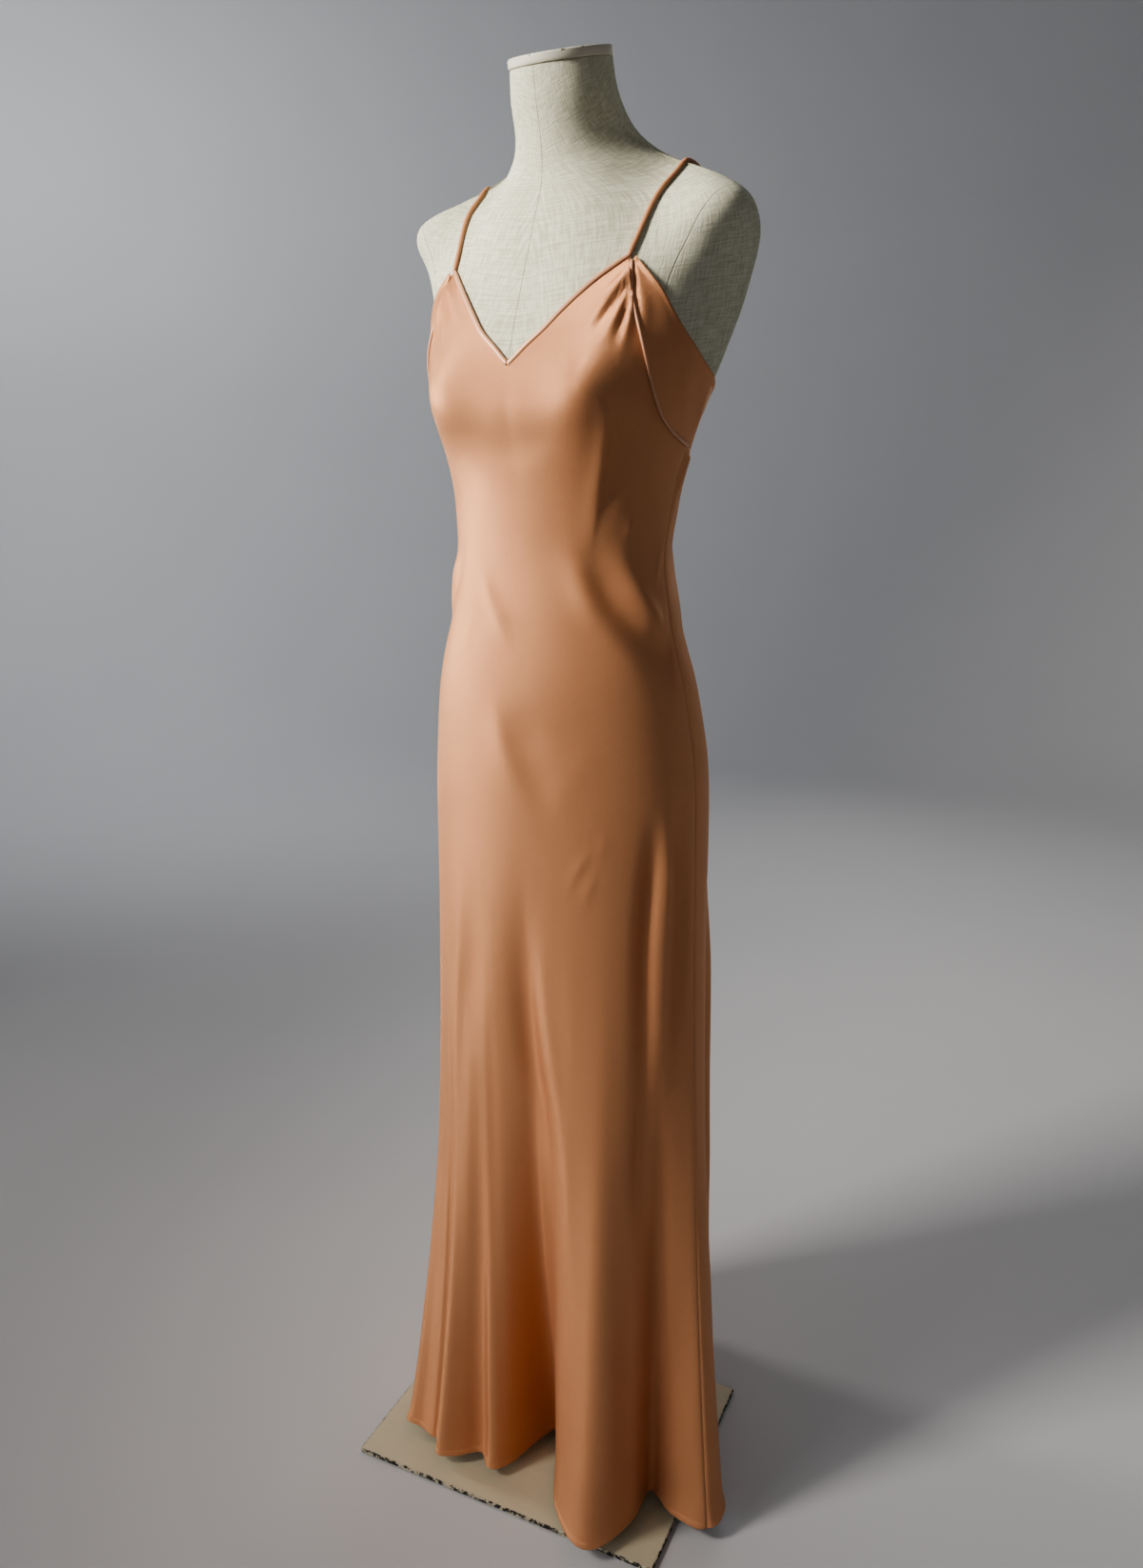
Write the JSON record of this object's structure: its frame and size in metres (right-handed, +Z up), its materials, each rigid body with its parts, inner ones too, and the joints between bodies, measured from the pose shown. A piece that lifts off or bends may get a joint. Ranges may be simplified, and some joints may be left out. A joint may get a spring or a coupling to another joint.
{
  "type": "slip dress on a dress form",
  "caption": "Bias-cut satin slip dress with a V neck and thin straps, on a linen-covered limbless dress form with a flat base plate.",
  "frame": {"origin": "on the floor under the pole, on the underside of the base plate", "axes": "+Z up; the front of the dress faces -Y; the wearer's left side is +X"},
  "size_m": [0.4704, 0.3935, 1.6166],
  "materials": {
    "satin": "satin",
    "satin_trim": "satin",
    "linen": "matte",
    "cap_paint": "satin",
    "plate_paint": "satin",
    "steel": "brushed"
  },
  "bodies": {
    "root": {"front": "satin", "back": "satin", "side_back_band": "satin", "neck_binding_left": "satin_trim", "neck_binding_right": "satin_trim", "seam_piping_left": "satin_trim", "seam_piping_right": "satin_trim", "strap_left": "satin_trim", "strap_right": "satin_trim", "form_body": "linen", "neck_cap": "cap_paint", "base_plate": "plate_paint", "pole_flange": "steel", "pole": "steel", "pole_collar": "steel"}
  },
  "joints": []
}
